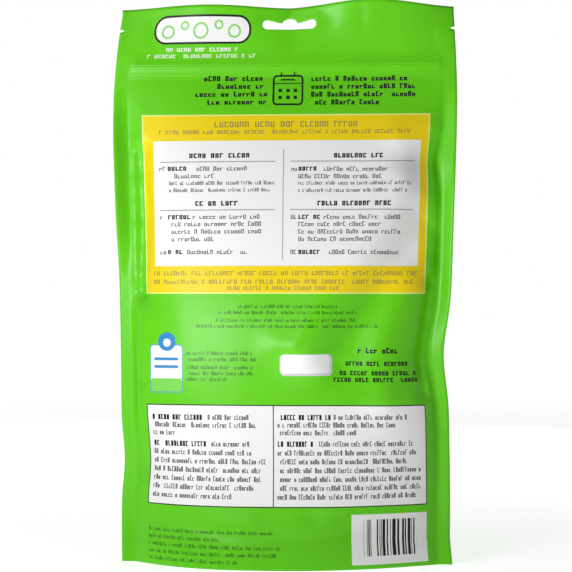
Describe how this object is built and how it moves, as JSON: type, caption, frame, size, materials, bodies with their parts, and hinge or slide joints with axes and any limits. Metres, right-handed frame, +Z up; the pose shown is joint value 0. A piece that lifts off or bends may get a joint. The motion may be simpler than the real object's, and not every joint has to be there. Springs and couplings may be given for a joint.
{
  "type": "stand-up film pouch",
  "caption": "Filled and sealed stand-up film pouch with a gusset base, press zip, tear notches and a hang hole, for cleaner tablets.",
  "frame": {"origin": "middle of the standing base, on the table", "axes": "+Z up, -Y out of the printed front, +X to the right as the printed front is seen"},
  "size_m": [0.1527, 0.0465, 0.2491],
  "materials": {
    "film": "satin green printed film"
  },
  "bodies": {
    "root": {"pouch": "film"}
  },
  "joints": []
}
